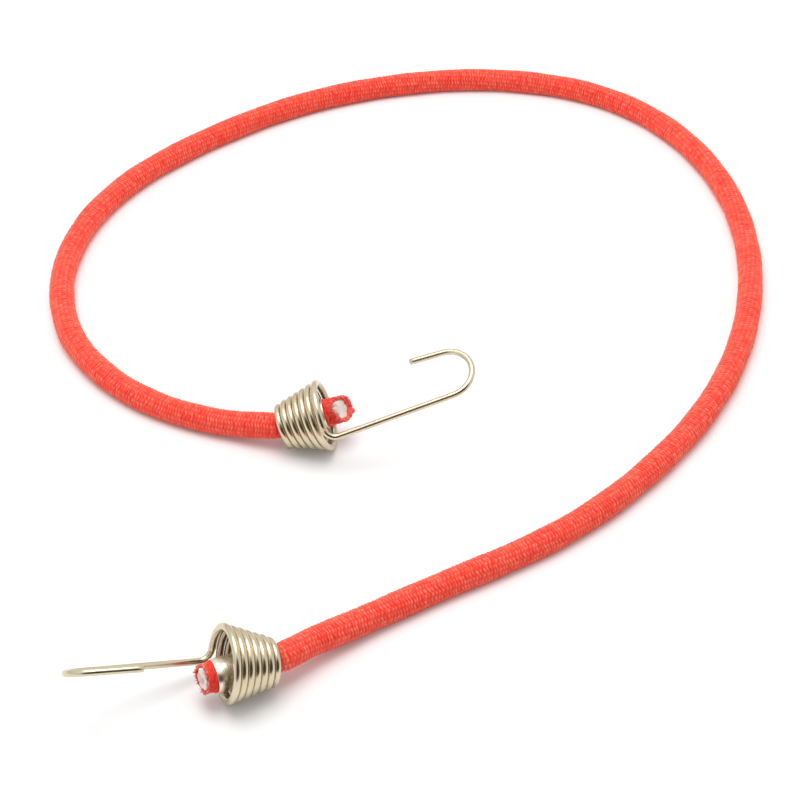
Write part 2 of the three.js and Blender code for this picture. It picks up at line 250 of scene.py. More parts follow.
# Loop of the cord from end A to end B: x, y and lift above where the slack cord lies
ROUTE = [
    (-0.0224, -0.0204, 0.00135),
    (-0.0260, -0.0194, 0.00075),
    (-0.0300, -0.0181, 0.0003),
    (-0.0380, -0.0145, 0.00003),
    (-0.0460, -0.0084, 0.00001),
    (-0.0536, 0.0025, 0.0),
    (-0.0570, 0.0179, 0.0),
    (-0.0548, 0.0333, 0.0),
    (-0.0487, 0.0457, 0.0),
    (-0.0404, 0.0554, 0.0),
    (-0.0312, 0.0634, 0.0),
    (-0.0213, 0.0702, 0.0),
    (-0.0107, 0.0752, 0.0),
    (0.0002, 0.0783, 0.0),
    (0.0113, 0.0797, 0.0),
    (0.0224, 0.0788, 0.0),
    (0.0332, 0.0753, 0.0),
    (0.0429, 0.0681, 0.0),
    (0.0507, 0.0569, 0.0),
    (0.0556, 0.0423, 0.0),
    (0.0570, 0.0258, 0.0),
    (0.0551, 0.0094, 0.0),
    (0.0506, -0.0052, 0.0),
    (0.0444, -0.0175, 0.0),
    (0.0372, -0.0276, 0.0),
    (0.0297, -0.0360, 0.0),
    (0.0219, -0.0428, 0.0),
    (0.0139, -0.0482, 0.00001),
    (0.0059, -0.0529, 0.00002),
    (-0.0020, -0.0578, 0.00015),
    (-0.0085, -0.0623, 0.0007),
    (-0.0133, -0.0659, 0.0015),
]
RUN_A_FROM = 6  # the route's point where the stretching run to end A begins
RUN_B_FROM = 25  # and the one for end B
ENTRY_KNOTS = 2  # knots of the cord's line before the route's own: in the coil and at its entry
ROUTE_STEPS = 160  # points worked out between two knots

# Camera, floor and light
CAMERA_PLACE = (-1.33 * MM, -281.01 * MM, 226.6 * MM)
CAMERA_DROP = 40.0  # degrees below the horizon
CAMERA_LENS = 101.9  # millimetres, like the sensor's width
CAMERA_SENSOR = 36.0
CAMERA_NEAR = 10.0 * MM
FLOOR_HALF = 30.0
FLOOR_COLOUR = (0.95, 0.95, 0.955, 1.0)
FLOOR_GLOW = 0.15  # share of plain light in the floor that is seen
FLOOR_GLOW_LEVEL = 0.55  # where 1 is white
ROOM_LIGHT = [(0.0, 0.68), (0.35, 0.88), (0.75, 0.98), (0.95, 1.0)]  # by height
DARK_TOWARDS = (0.2, -0.93, 0.3)  # the room's dark patch
DARK_CORE = 37.0  # degrees from its middle to where it is fully dark
DARK_EDGE = 50.0  # and to where it ends
DARK_LIGHT = (0.05, 0.034, 0.022)
LAMP_PLACE = (-0.05, 0.03, 0.62)
LAMP_SIZE = 0.42
LAMP_POWER = 2.25  # watts

# Colours and finish
# Red of the yarn by its painted shade: deep in the grooves between stitches, pale on their tops
DEEP_RED = (0.7, 0.005, 0.004)
FULL_RED = (1.0, 0.043, 0.028)
PALE_RED = (1.0, 0.225, 0.148)
FLUFF_RED = (1.0, 0.215, 0.135, 1.0)
DEEP_STITCH = (0.93, 0.3, 0.27)  # the deepest and the palest stitch, times the yarn's own red
PALE_STITCH = (1.0, 1.9, 1.85)
SHEEN_RED = (1.0, 0.45, 0.32, 1.0)
MELTED_DEEP = (0.50, 0.035, 0.045)
MELTED_PALE = (0.83, 0.50, 0.47)
RUBBER_DEEP = (0.97, 0.87, 0.74)
RUBBER_PALE = (1.0, 0.93, 0.81)
RUBBER_STAIN = (0.62, 0.42, 0.40, 1.0)
WIRE_DEEP = (0.66, 0.575, 0.405)
WIRE_PALE = (0.74, 0.655, 0.48)
WIRE_INNER_SHADE = (0.5, 0.42, 0.31, 1.0)  # painted shade inside the coil, where the wire faces its axis
STRIP_DEEP = (0.84, 0.78, 0.64)
STRIP_PALE = (0.91, 0.86, 0.73)
FIBRE_SCALES = (9.0, 1.6, 40.0)  # across the yarn, along it and from stitch to stitch
WIRE_STREAKS = (5.0, 5.0, 180.0)  # scales of the drawn lines, across the wire and along it
STRIP_STREAKS = (700.0, 700.0, 9000.0)  # the same for the strip
NOISE_ROUGHNESS = 0.55

# Sockets of a Mix node that mixes colours
MIX_SHARE = 0
MIX_FIRST = 6
MIX_SECOND = 7
MIX_RESULT = 2

ring_step = BRAID_PITCH / RINGS_PER_STITCH
coil_length = COIL_TURNS * MEAN_PITCH
coil_front = TIP_LEAD + WIRE_RADIUS + coil_length


# Small helpers


def unit(vector):
    return np.asarray(vector, float) / np.linalg.norm(vector)


def smoothstep(value):
    share = np.clip(value, 0.0, 1.0)
    return share * share * (3 - 2 * share)


def hashed(first, second):
    """A number from 0 to 1 for each pair of numbers, the same on every run."""
    mixed = np.sin(first * HASH_STEPS[0] + second * HASH_STEPS[1]) * HASH_SCALE
    return mixed - np.floor(mixed)


def direction(azimuth, tilt):
    level = math.cos(math.radians(tilt))
    flat = math.radians(azimuth)
    return np.array([level * math.cos(flat), level * math.sin(flat), math.sin(math.radians(tilt))])


def turned(vector, axis, angle):
    """vector turned about a unit axis, in radians."""
    along = axis * np.dot(axis, vector)
    across = vector - along
    return along + across * math.cos(angle) + np.cross(axis, across) * math.sin(angle)


def round_turn(sides):
    """Angles of this many places round a full turn."""
    return np.linspace(0, FULL_TURN, sides, endpoint=False)


def grey(value):
    return (value, value, value)


def joint(name):
    return next(j for j in frame["joints"] if j["name"] == name)


# Meshes


def tube_faces(rings, sides):
    """Quads between neighbouring rings of points and a flat cap at each end.

    They face out when the rings turn about the way on."""
    ring = np.arange(rings - 1)[:, None] * sides
    side = np.arange(sides)[None, :]
    after = (side + 1) % sides
    quads = [ring + side, ring + after, ring + sides + after, ring + sides + side]
    faces = np.stack(quads, -1).reshape(-1, 4).tolist()
    last = (rings - 1) * sides
    faces.append(list(range(sides))[::-1])
    faces.append(list(range(last, last + sides)))
    return faces


def flipped(faces):
    return [face[::-1] for face in faces]


def joined(tubes):
    """Points and faces of several tubes, each given by its rings."""
    points = []
    faces = []
    first = 0
    for rings in tubes:
        count, sides = rings.shape[:2]
        points.append(rings.reshape(-1, 3))
        faces += [[first + i for i in face] for face in tube_faces(count, sides)]
        first += count * sides
    return np.vstack(points), faces


def make_mesh(name, points, faces, material, attributes=None):
    """A mesh object of smooth quads and flat caps.

    attributes has a number or a vector for each point, by name."""
    mesh = bpy.data.meshes.new(name)
    mesh.from_pydata(np.asarray(points).tolist(), [], faces)
    mesh.polygons.foreach_set("use_smooth", [len(face) == 4 for face in faces])
    for key, values in (attributes or {}).items():
        values = np.asarray(values, np.float32)
        kind, field = ("FLOAT", "value") if values.ndim == 1 else ("FLOAT_VECTOR", "vector")
        mesh.attributes.new(key, kind, "POINT").data.foreach_set(field, values.ravel())
    mesh.materials.append(material)
    mesh.update()
    made = bpy.data.objects.new(name, mesh)
    bpy.context.scene.collection.objects.link(made)
    return made


def swept_rings(points, radii, sides):
    """Rings of points round a line, without twist, and the line's length up to each."""
    points = np.asarray(points)
    tangents = np.gradient(points, axis=0)
    tangents /= np.linalg.norm(tangents, axis=1)[:, None]
    side = np.cross(tangents[0], UP + SIDE_TURN * tangents[0][::-1])
    angles = round_turn(sides)
    rings = []
    for point, tangent, radius in zip(points, tangents, radii):
        side = unit(side - tangent * np.dot(side, tangent))
        rise = np.cross(tangent, side)
        out = np.outer(np.cos(angles), side) + np.outer(np.sin(angles), rise)
        rings.append(point + radius * out)
    steps = np.linalg.norm(np.diff(points, axis=0), axis=1)
    return np.array(rings), np.concatenate([[0.0], np.cumsum(steps)])


# Materials


def set_stops(ramp, stops):
    """Give a colour ramp these (position, colour) stops."""
    while len(ramp.elements) < len(stops):
        ramp.elements.new(0.5)  # moved to its place below
    for element, (position, colour) in zip(ramp.elements, stops):
        element.position = position
        element.color = (*colour, 1.0)


class Shader:
    """A material's node tree, with short ways to add and link nodes."""

    def __init__(self, name):
        self.material = bpy.data.materials.new(name)
        self.material.use_nodes = True
        self.nodes = self.material.node_tree.nodes
        self.surface = self.nodes["Principled BSDF"]

    def add(self, kind, settings=None, **inputs):
        node = self.nodes.new("ShaderNode" + kind)
        for key, value in (settings or {}).items():
            setattr(node, key, value)
        for key, value in inputs.items():
            self.put(node.inputs[key.replace("_", " ")], value)
        return node

    def put(self, socket, value):
        if isinstance(value, bpy.types.NodeSocket):
            self.material.node_tree.links.new(value, socket)
        else:
            socket.default_value = value

    def set(self, **inputs):
        for key, value in inputs.items():
            self.put(self.surface.inputs[key.replace("_", " ")], value)

    def attribute(self, name, output="Fac"):
        return self.add("Attribute", {"attribute_name": name}).outputs[output]

    def noise(self, vector, scale, detail):
        node = self.add("TexNoise", Vector=vector, Scale=scale, Detail=detail)
        self.put(node.inputs["Roughness"], NOISE_ROUGHNESS)
        return node.outputs["Fac"]

    def spread(self, vector, scales):
        return self.add("Mapping", Vector=vector, Scale=scales).outputs["Vector"]

    def place(self):
        return self.add("TexCoord").outputs["Object"]

    def ramp(self, value, *stops):
        """Colours along a value, from (position, colour) stops."""
        node = self.add("ValToRGB", Fac=value)
        set_stops(node.color_ramp, stops)
        return node.outputs["Color"]

    def mix(self, share, first, second, blend="MIX"):
        node = self.add("Mix", {"data_type": "RGBA", "blend_type": blend})
        self.put(node.inputs[MIX_SHARE], share)
        self.put(node.inputs[MIX_FIRST], first)
        self.put(node.inputs[MIX_SECOND], second)
        return node.outputs[MIX_RESULT]

    def range(self, value, low, high):
        return self.add("MapRange", Value=value, To_Min=low, To_Max=high).outputs["Result"]

    def bump(self, height, strength, distance):
        node = self.add("Bump", Height=height, Strength=strength, Distance=distance)
        return node.outputs["Normal"]

    def larger(self, first, second):
        node = self.add("Math", {"operation": "MAXIMUM"})
        self.put(node.inputs[0], first)
        self.put(node.inputs[1], second)
        return node.outputs[0]


def sheath_material():
    """Red yarn with painted shade, deep between the stitches and paler on their tops, fluffed and
    worn, and melted where it is singed.
    """
    shader = Shader("red_braid")
    # Painted shade: deep red in the grooves, paler red on the stitches' tops
    red = shader.ramp(shader.attribute("tone_and_painted_shade"), (0.0, DEEP_RED), (0.45, FULL_RED), (1.0, PALE_RED))
    tint = shader.ramp(shader.attribute("stitch"), (0.0, DEEP_STITCH), (1.0, PALE_STITCH))
    shaded_and_toned = shader.mix(share=0.8, first=red, second=tint, blend="MULTIPLY")
    along_yarn = shader.spread(shader.attribute("yarn", "Vector"), FIBRE_SCALES)
    fibres = shader.noise(along_yarn, scale=1.0, detail=4.0)
    fluffed = shader.mix(shader.range(fibres, low=-0.3, high=0.55), shaded_and_toned, FLUFF_RED)
    worn = shader.noise(shader.place(), scale=140.0, detail=4.0)
    wear = shader.ramp(worn, (0.3, grey(0.85)), (0.7, grey(1.1)))
    aged = shader.mix(share=0.25, first=fluffed, second=wear, blend="MULTIPLY")
    grains = shader.noise(shader.place(), scale=2600.0, detail=2.0)
    melted = shader.ramp(grains, (0.4, MELTED_DEEP), (0.62, MELTED_PALE))
    shader.set(Base_Color=shader.mix(shader.attribute("cut"), aged, melted))
    shader.set(Roughness=shader.range(fibres, low=0.62, high=0.86), Specular_IOR_Level=0.2)
    shader.set(Normal=shader.bump(fibres, strength=0.5, distance=0.05 * MM))
    shader.set(Sheen_Weight=0.5, Sheen_Roughness=0.5, Sheen_Tint=SHEEN_RED)
    shader.set(Subsurface_Weight=0.6, Subsurface_Scale=0.6 * MM)
    shader.set(Subsurface_Radius=(1.0, 0.05, 0.04))
    return shader.material


def core_material():
    """Mottled pale rubber, stained by the dye at its cut."""
    shader = Shader("pale_rubber")
    mottle = shader.noise(shader.place(), scale=900.0, detail=4.0)
    tone = shader.ramp(mottle, (0.3, RUBBER_DEEP), (0.7, RUBBER_PALE))
    shader.set(Base_Color=shader.mix(shader.attribute("cut"), tone, RUBBER_STAIN))
    shader.set(Roughness=shader.range(mottle, low=0.55, high=0.75))
    shader.set(Normal=shader.bump(mottle, strength=0.4, distance=0.05 * MM))
    shader.set(Subsurface_Weight=0.3, Subsurface_Scale=0.5 * MM)
    shader.set(Subsurface_Radius=(1.0, 0.8, 0.6))
    return shader.material


def metal(name, deep, pale, streaks, smooth, rough):
    """Bright plated metal with fine lines drawn along it, darkened by painted shade where it faces
    into the coil.
    """
    shader = Shader(name)
    along_lines = shader.spread(shader.attribute("drawn", "Vector"), streaks)
    lines = shader.noise(along_lines, scale=1.0, detail=3.0)
    cloud = shader.noise(shader.place(), scale=260.0, detail=3.0)
    tone = shader.ramp(cloud, (0.3, deep), (0.7, pale))
    # Painted shade inside the coil, by the inner share
    inner_shaded = shader.mix(shader.attribute("inner"), tone, WIRE_INNER_SHADE)
    scratches = shader.ramp(lines, (0.3, grey(0.5)), (0.7, grey(1.0)))
    scratched = shader.mix(share=0.12, first=inner_shaded, second=scratches, blend="MULTIPLY")
    shader.set(Base_Color=scratched, Metallic=1.0)
    shader.set(Roughness=shader.range(lines, low=smooth, high=rough))
    shader.set(Normal=shader.bump(lines, strength=0.12, distance=0.02 * MM))
    return shader.material


def wire_material():
    return metal("plated_wire", WIRE_DEEP, WIRE_PALE, WIRE_STREAKS, smooth=0.18, rough=0.28)


def ferrule_material():
    return metal("plated_strip", STRIP_DEEP, STRIP_PALE, STRIP_STREAKS, smooth=0.22, rough=0.34)


SHEATH = sheath_material()
CORE = core_material()
WIRE = wire_material()
STRIP = ferrule_material()


# Camera


def add_camera():
    camera = bpy.data.objects.new("camera", bpy.data.cameras.new("camera"))
    camera.location = CAMERA_PLACE
    camera.rotation_euler = (math.radians(90 - CAMERA_DROP), 0.0, 0.0)
    camera.data.sensor_width = CAMERA_SENSOR
    camera.data.lens = CAMERA_LENS
    camera.data.clip_start = CAMERA_NEAR
    bpy.context.scene.collection.objects.link(camera)
    bpy.context.scene.camera = camera


# The ends' frames


class End:
    """Where one end of the cord lies: its coil's frame and the straight cord in it."""

    def __init__(self, letter):
        self.letter = letter
        self.facts = ENDS[letter]
        swivel = joint("swivel_" + letter)
        self.axis = unit(swivel["axis"])
        self.mouth = np.array(swivel["pos_m"])
        right = unit(np.cross(UP, self.axis))
        self.above = np.cross(self.axis, right)
        roll = math.radians(self.facts["roll"])
        self.outwards = right * math.cos(roll) + self.above * math.sin(roll)
        self.sideways = np.cross(self.axis, self.outwards)
        self.cord_axis = direction(
            self.facts["azimuth"] + self.facts["cord_turn"],
            self.facts["tilt"] - self.facts["cord_drop"],
        )
        self.ferrule_front = coil_front + self.facts["ferrule_reach"]
        self.ferrule_back = self.ferrule_front - FERRULE_LENGTH
        self.tip_end = coil_front + self.facts["cut_reach"]
        first_turn = self.mouth + self.axis * (MEAN_PITCH / 2 - coil_length) + UP * CORD_RISE
        self.entry = first_turn - self.cord_axis * (MEAN_PITCH / 2 + WIRE_RADIUS + TIP_LEAD)
        self.right = unit(np.cross(UP, self.cord_axis))
        self.rise = np.cross(self.cord_axis, self.right)

    def from_coil(self, points):
        basis = np.stack([self.axis, self.outwards, self.sideways])
        return np.asarray(points) @ basis + self.mouth

    def from_cord(self, along, radius, angle):
        """Points round the straight cord: how far from its entry, from its axis and round it."""
        out = np.cos(angle)[..., None] * self.right + np.sin(angle)[..., None] * self.rise
        return self.entry + along[..., None] * self.cord_axis + radius[..., None] * out


# The cord's line


def catmull_rom(points):
    """Points of a centripetal Catmull-Rom curve through the given points."""
    padded = np.vstack([2 * points[0] - points[1], points, 2 * points[-1] - points[-2]])
    spans = np.sqrt(np.linalg.norm(np.diff(padded, axis=0), axis=1))
    share = np.linspace(0, 1, ROUTE_STEPS, endpoint=False)[:, None]
    curve = []
    for i in range(len(points) - 1):
        p0, p1, p2, p3 = padded[i : i + 4]
        d0, d1, d2 = spans[i : i + 3]
        leave = ((p1 - p0) / d0 - (p2 - p0) / (d0 + d1) + (p2 - p1) / d1) * d1
        arrive = ((p2 - p1) / d1 - (p3 - p1) / (d1 + d2) + (p3 - p2) / d2) * d1
        bow = 3 * (p2 - p1) - 2 * leave - arrive
        bend = 2 * (p1 - p2) + leave + arrive
        curve.append(p1 + share * (leave + share * (bow + share * bend)))
    curve.append(points[-1:])
    return np.vstack(curve)


class Line:
    """The cord's middle line, by length from its entry at end A, going on straight in both coils."""

    def __init__(self, end_a, end_b):
        slack = [(x, y, CORD_RADIUS - CORD_FLAT + lift) for x, y, lift in ROUTE]
        inside_a = end_a.entry + BEND_IN * end_a.cord_axis
        inside_b = end_b.entry + BEND_IN * end_b.cord_axis
        self.knots = np.array([inside_a, end_a.entry, *slack, end_b.entry, inside_b])
        curve = catmull_rom(self.knots)
        # Twice the coil's length is past both cuts
        reach = np.linspace(0, 2 * coil_front, ROUTE_STEPS)[1:, None]
        before = inside_a + reach[::-1] * end_a.cord_axis
        after = inside_b + reach * end_b.cord_axis
        self.points = np.vstack([before, curve, after])
        steps = np.linalg.norm(np.diff(self.points, axis=0), axis=1)
        self.lengths = np.concatenate([[0.0], np.cumsum(steps)])
        # The entries lie one knot from each end of the curve
        self.lengths -= self.lengths[len(before) + ROUTE_STEPS]
        self.length = self.lengths[len(before) + len(curve) - 1 - ROUTE_STEPS]
        self.entry_b = self.on_ring(self.length)
        self.tangents = np.gradient(self.points, self.lengths, axis=0)

    def on_ring(self, length):
        return round(length / ring_step) * ring_step

    def at(self, length):
        """(points, tangents) at these lengths."""
        point = [np.interp(length, self.lengths, self.points[:, i]) for i in range(3)]
        tangent = [np.interp(length, self.lengths, self.tangents[:, i]) for i in range(3)]
        tangent = np.stack(tangent, -1)
        return np.stack(point, -1), tangent / np.linalg.norm(tangent, axis=-1)[..., None]

    def knot(self, index):
        """Length at one of the route's points, on a whole ring."""
        place = np.linalg.norm(self.points - self.knots[index + ENTRY_KNOTS], axis=1).argmin()
        return self.on_ring(self.lengths[place])


def braid(length, angle):
    """The braid's height and painted shade from 0 to 1, each stitch's own number and places in the
    yarn.
    """
    column = angle * BRAID_COLUMNS / FULL_TURN
    index = np.floor(column + COLUMN_NUDGE)
    place = column - index - 0.5
    lean = (1 - 2 * (index % 2)) * STITCH_SLANT * place
    wander = length / STRAY_LENGTH + STRAY_START * hashed(index, STRAY_KEY)
    row = length / BRAID_PITCH + lean + STITCH_STRAY * np.sin(wander)
    stitch = np.round(row)
    across = row - stitch - STITCH_JITTER * (hashed(stitch, index + JITTER_KEY) - 0.5)
    own = hashed(stitch, index)
    opened = hashed(np.floor(row), index + GAP_KEY) ** 2
    groove = 0.5 - 0.5 * np.cos(FULL_TURN * across)
    dive = (2 * place) ** 2
    height = 1 - groove * (GROOVE_DEPTH[0] + GROOVE_DEPTH[1] * opened)
    height *= 1 - STITCH_CROWN * dive
    height *= 1 - STITCH_SPREAD * own
    # Painted shade: darker in the grooves between stitches and where they dive under
    shade = (1 - groove * (GROOVE_SHADE[0] + GROOVE_SHADE[1] * opened)) * (1 - STITCH_SHADE * dive)
    yarn = np.stack([across, place, own], -1)
    return height, shade, own, yarn


def braided(line, length, turn, radius):
    """Points of the braided surface, with what its material reads. turn is the angle in the braid."""
    length, turn, radius = np.broadcast_arrays(length, turn, radius)
    middle, tangent = line.at(length)
    side = np.cross(UP, tangent)
    side /= np.linalg.norm(side, axis=-1)[..., None]
    rise = np.cross(tangent, side)
    angle = turn + FULL_TURN * length / BRAID_TWIST_LENGTH
    height, shade, own, yarn = braid(length, turn)
    drift = LUMP_DRIFT * np.sin(length / LUMP_DRIFT_LENGTH)
    lump = LUMP * np.sin(FULL_TURN * length / LUMP_LENGTH + drift)
    inside = np.maximum(-length, length - line.length)
    grip = SQUEEZE * smoothstep(1 - np.abs(inside - GRIP_PLACE) / GRIP_REACH)
    far = (radius + lump - grip + BRAID_RELIEF * (height - BRAID_LEVEL))[..., None]
    points = middle + far * (np.cos(angle)[..., None] * side + np.sin(angle)[..., None] * rise)
    # Smoothly stopped at the floor
    points[..., 2] = 0.5 * (points[..., 2] + np.hypot(points[..., 2], FLOOR_BLUR))
    reads = {"tone_and_painted_shade": shade.ravel(), "stitch": own.ravel(), "yarn": yarn.reshape(-1, 3)}
    return points, reads


def lying_cord(name, line, start, end):
    """One length of the lying cord, closed at both ends, and the points of its middle line."""
    rings = round((end - start) / ring_step) + 1
    lengths = np.linspace(start, end, rings)
    turns = round_turn(CORD_SIDES)
    points, reads = braided(line, lengths[:, None], turns[None, :], CORD_RADIUS)
    reads["cut"] = np.zeros(rings * CORD_SIDES)
    faces = tube_faces(rings, CORD_SIDES)
    made = make_mesh(name, points.reshape(-1, 3), faces, SHEATH, reads)
    return made, line.at(lengths[::RINGS_PER_STITCH])[0]


def stretch(piece):
    """Bakes the run's placement into its mesh."""
    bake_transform(piece)


def add_cord(line):
    split_a = line.knot(RUN_A_FROM)
    split_b = line.knot(RUN_B_FROM)
    middle, middle_path = lying_cord("braid_middle", line, split_a, split_b)
    run_a, path_a = lying_cord("braid_run_a", line, 0.0, split_a)
    run_b, path_b = lying_cord("braid_run_b", line, split_b, line.entry_b)
    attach(middle, "cord")
    stretch(run_a)
    stretch(run_b)
    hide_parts("sheath_middle", "core_middle")
    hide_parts("sheath_run_a", "core_run_a")
    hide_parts("sheath_run_b", "core_run_b")


# Cut ends


def tip_radius(end, along):
    """Radius of the cord in the ferrule and beyond it."""
    share = np.clip((along - end.ferrule_back) / FERRULE_LENGTH, 0, 1)
    flared = FERRULE_BORE + FERRULE_FLARE - FERRULE_FIT
    inside = CORD_RADIUS + (flared - CORD_RADIUS) * share
    swell = CORD_RADIUS + TIP_SWELL
    return inside + (swell - inside) * smoothstep((along - end.ferrule_front) / SWELL_LENGTH)


def short_side(end, across, up):
    """How far places across the cord lie towards the cut's short side."""
    faces = np.asarray(end.facts["cut_faces"])
    short = unit([np.dot(faces, end.right), np.dot(faces, end.rise)])
    return across * short[0] + up * short[1]


def cut_level(end, across, up, slant):
    """How far from the entry a cut with this slant lies, at places across the cord."""
    return end.tip_end - math.tan(math.radians(slant)) * short_side(end, across, up)


def cut_place(end, angle):
    """How far from the entry the sheath is cut, round the cord."""
    across = CORD_RADIUS * np.cos(angle)
    up = CORD_RADIUS * np.sin(angle)
    level = cut_level(end, across, up, end.facts["cut_slant"])
    seed = float(end.facts["seed"])
    ragged = sum(
        np.sin(waves * angle + FULL_TURN * hashed(float(waves), seed)) / math.sqrt(waves)
        for waves in RAGGED_WAVES
    )
    return level + RAGGED * ragged


def cord_angles(end, line, length, turns):
    """Angles in the straight cord's frame of these angles in the braid, at one length."""
    tangent = line.at(np.array(length))[1]
    side = unit(np.cross(UP, tangent))
    rise = np.cross(tangent, side)
    seen = turns + FULL_TURN * length / BRAID_TWIST_LENGTH
    out = np.cos(seen)[..., None] * side + np.sin(seen)[..., None] * rise
    return np.arctan2(out @ end.rise, out @ end.right)


def add_braided_tip(end, line):
    """Sheath from the coil's narrow end to the ragged cut, turned in over its own thickness."""
    at_a = end.letter == "a"
    onward = -1.0 if at_a else 1.0
    base = 0.0 if at_a else line.entry_b
    turns = round_turn(TIP_SIDES)[None, :]
    angle = cord_angles(end, line, base + onward * end.tip_end, turns)
    cut = cut_place(end, angle)
    beyond = cut - end.ferrule_front
    straight = np.arange(0, end.ferrule_front, 2 * ring_step)[:, None]
    front = end.ferrule_front + beyond * np.linspace(0, 1, TIP_RINGS)[:, None]
    along = np.vstack([np.broadcast_to(straight, (len(straight), TIP_SIDES)), front])
    back = end.ferrule_front + beyond * np.linspace(1, INNER_END, INNER_RINGS)[:, None]
    inner_radius = tip_radius(end, back) - SHEATH_WALL
    outer, reads = braided(line, base + onward * along, turns, tip_radius(end, along))
    inner, inner_reads = braided(line, base + onward * back, turns, inner_radius)
    reads = {key: np.concatenate([values, inner_reads[key]]) for key, values in reads.items()}
    # Painted shade: the tips are darker where they lie in the coils' shade
    reads["tone_and_painted_shade"] = TIP_PAINTED_SHADE * reads["tone_and_painted_shade"]
    towards_short = short_side(end, np.cos(angle), np.sin(angle))
    reach = np.interp(towards_short, SINGE_SPAN, end.facts["singe_length"])
    singe = OUTER_SINGE * np.clip(1 - (cut - along) / reach, 0, 1) ** 2
    within = np.full(back.size, INNER_SINGE)
    reads["cut"] = end.facts["singe"] * np.concatenate([singe.ravel(), within])
    points = np.vstack([outer, inner])
    faces = tube_faces(len(points), TIP_SIDES)
    if at_a:
        faces = flipped(faces)
    tip = make_mesh("braid_tip_" + end.letter, points.reshape(-1, 3), faces, SHEATH, reads)
    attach(tip, "end_" + end.letter)
    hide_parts("sheath_tip_" + end.letter)


def add_fray(end):
    """Loose yarn ends round the cut."""
    random = np.random.default_rng(end.facts["seed"])
    share = np.linspace(0, 1, FRAY_STEPS)[:, None]
    radii = FRAY_RADIUS * (1 - FRAY_TAPER * share[:, 0])
    tubes = []
    for _ in range(FRAY_COUNT):
        angle = random.uniform(0, FULL_TURN)
        radius = CORD_RADIUS + TIP_SWELL - SHEATH_WALL * random.uniform(*FRAY_WALL)
        depth = cut_place(end, np.array(angle)) - FRAY_ROOT
        root = end.from_cord(depth, np.array(radius), np.array(angle))
        out = math.cos(angle) * end.right + math.sin(angle) * end.rise
        lean = out * random.normal(*FRAY_SPLAY)
        way = unit(end.cord_axis + lean + random.normal(0, FRAY_SCATTER, 3))
        curl = unit(np.cross(way, random.normal(0, 1, 3)))
        length = random.uniform(*FRAY_LENGTH)
        bend = FRAY_CURL * share**2 * curl * random.uniform(-1, 1)
        strand = root + length * (share * way + bend)
        tubes.append(swept_rings(strand, radii, FRAY_SIDES)[0])
    points, faces = joined(tubes)
    points_each = len(points) // FRAY_COUNT
    own = np.repeat(random.uniform(0, 1, FRAY_COUNT), points_each)
    singed = np.repeat(random.uniform(0, 1, FRAY_COUNT) ** 2, points_each)
    reads = {
        "tone_and_painted_shade": FRAY_SHADE[0] + FRAY_SHADE[1] * own,
        "stitch": own,
        "yarn": np.stack([own, own, own], -1),
        "cut": end.facts["singe"] * singed,
    }
    fray = make_mesh("fray_" + end.letter, points, faces, SHEATH, reads)
    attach(fray, "end_" + end.letter)


def thread_places():
    """Middles of the core's threads, the first with the others round it."""
    places = [(0.0, 0.0)]
    for step in range(THREADS_ROUND):
        angle = FULL_TURN * step / THREADS_ROUND + THREADS_TURN
        places.append((THREAD_SPACING * math.cos(angle), THREAD_SPACING * math.sin(angle)))
    return places


def add_core(end):
    """The rubber threads where they show at the slanted cut, one a little prouder than the next."""
    random = np.random.default_rng(end.facts["seed"] + 1)
    turns = round_turn(THREAD_SIDES)
    tubes = []
    stains = []
    for across, up in thread_places():
        proud = random.uniform(*THREAD_PROUD)
        smeared = end.facts["smear"] * random.uniform()
        rings = []
        for depth, wide in THREAD_PROFILE:
            x = across + wide * THREAD_RADIUS * np.cos(turns)
            y = up + wide * THREAD_RADIUS * np.sin(turns)
            level = cut_level(end, x, y, end.facts["core_slant"]) - end.facts["core_sunk"]
            middle = end.entry + np.outer(level + proud - depth, end.cord_axis)
            rings.append(middle + np.outer(x, end.right) + np.outer(y, end.rise))
            low = smoothstep((short_side(end, x, y) - STAIN_FROM) / STAIN_WIDTH)
            stains.append(np.maximum(low, 1.0 if depth > THREAD_CLEAN else smeared))
        tubes.append(np.array(rings))
    points, faces = joined(tubes)
    reads = {"cut": STAIN * np.concatenate(stains)}
    core = make_mesh("core_threads_" + end.letter, points, faces, CORE, reads)
    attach(core, "end_" + end.letter)
    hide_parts("core_tip_" + end.letter)


# Ferrules


def strip_profile():
    """(share of the length, share of the wall) round the strip's section, with round edges."""
    edge = 0.5 * FERRULE_WALL / FERRULE_LENGTH
    outer = [(share, 1.0) for share in np.linspace(edge, 1 - edge, STRIP_STEPS)]
    inner = [(share, 0.0) for share in np.linspace(1 - edge, edge, STRIP_STEPS)]
    swing = [math.radians(angle) for angle in STRIP_EDGE_ANGLES]
    front = [(1 - edge + edge * math.sin(a), 0.5 + 0.5 * math.cos(a)) for a in swing]
    back = [(edge - edge * math.sin(a), 0.5 - 0.5 * math.cos(a)) for a in swing]
    return np.array(outer + front + inner + back)


